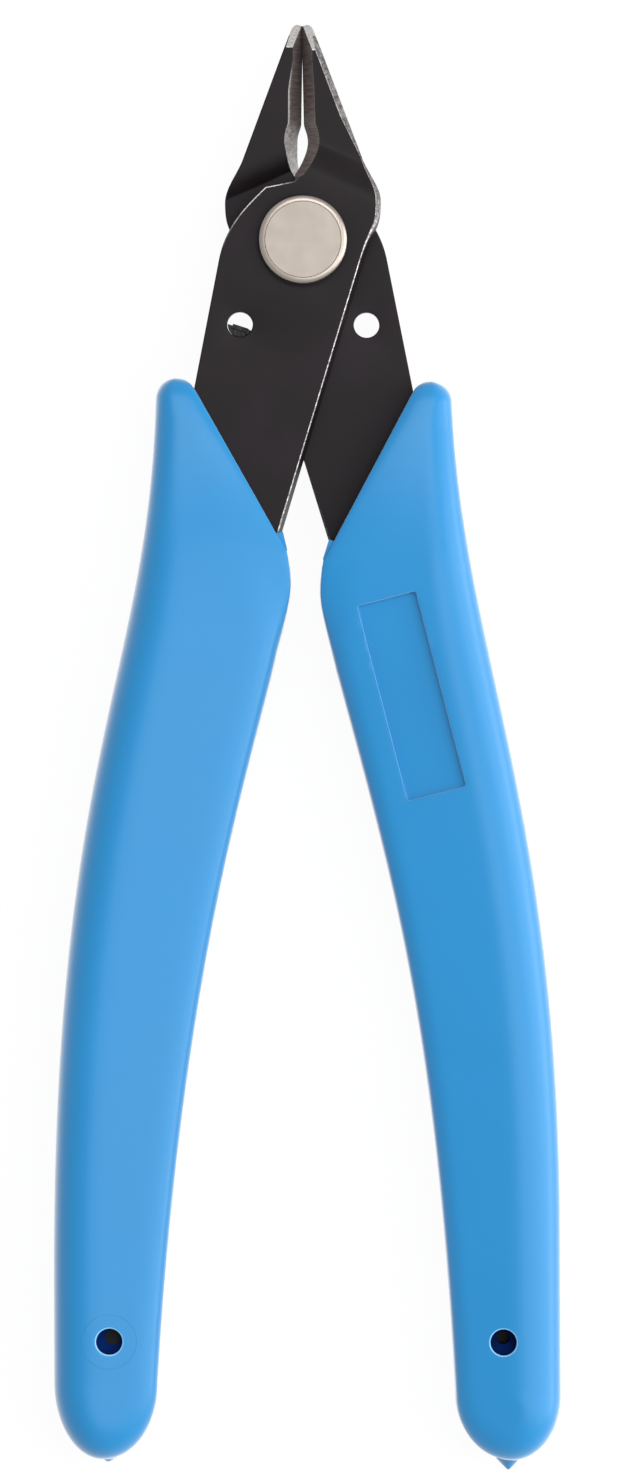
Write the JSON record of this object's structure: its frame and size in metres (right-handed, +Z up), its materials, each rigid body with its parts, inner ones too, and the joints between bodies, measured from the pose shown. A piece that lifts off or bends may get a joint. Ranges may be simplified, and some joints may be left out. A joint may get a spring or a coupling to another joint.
{
  "type": "flush cutter",
  "caption": "Hand flush cutter: crossed steel blades on a rivet, shear jaws with a flat back, a leaf return spring and curved moulded grips.",
  "frame": {"origin": "middle of the length and width, on the surface that the grips rest on", "axes": "+Y along the tool towards the jaws, +X to the right seen from the front, +Z up out of the front face"},
  "size_m": [0.0448, 0.1278, 0.0095],
  "materials": {
    "blade_steel": "black oxide, satin, bare where ground",
    "rivet_nickel": "nickel plated, satin",
    "spring_steel": "blued spring strip",
    "grip_rubber": "smooth moulded, satin"
  },
  "bodies": {
    "front_half": {"front_blade": "blade_steel", "pivot_rivet": "rivet_nickel", "return_spring": "spring_steel", "left_grip": "grip_rubber"},
    "rear_half": {"rear_blade": "blade_steel", "right_grip": "grip_rubber"}
  },
  "joints": [
    {"name": "handle_squeeze", "type": "hinge", "parent": "front_half", "child": "rear_half", "pos_m": [0, 0.04465, 0.00475], "axis": [0, 0, 1], "range_deg": [0, 12], "stiffness_Nm_per_rad": 0.6, "springref_deg": 12}
  ]
}
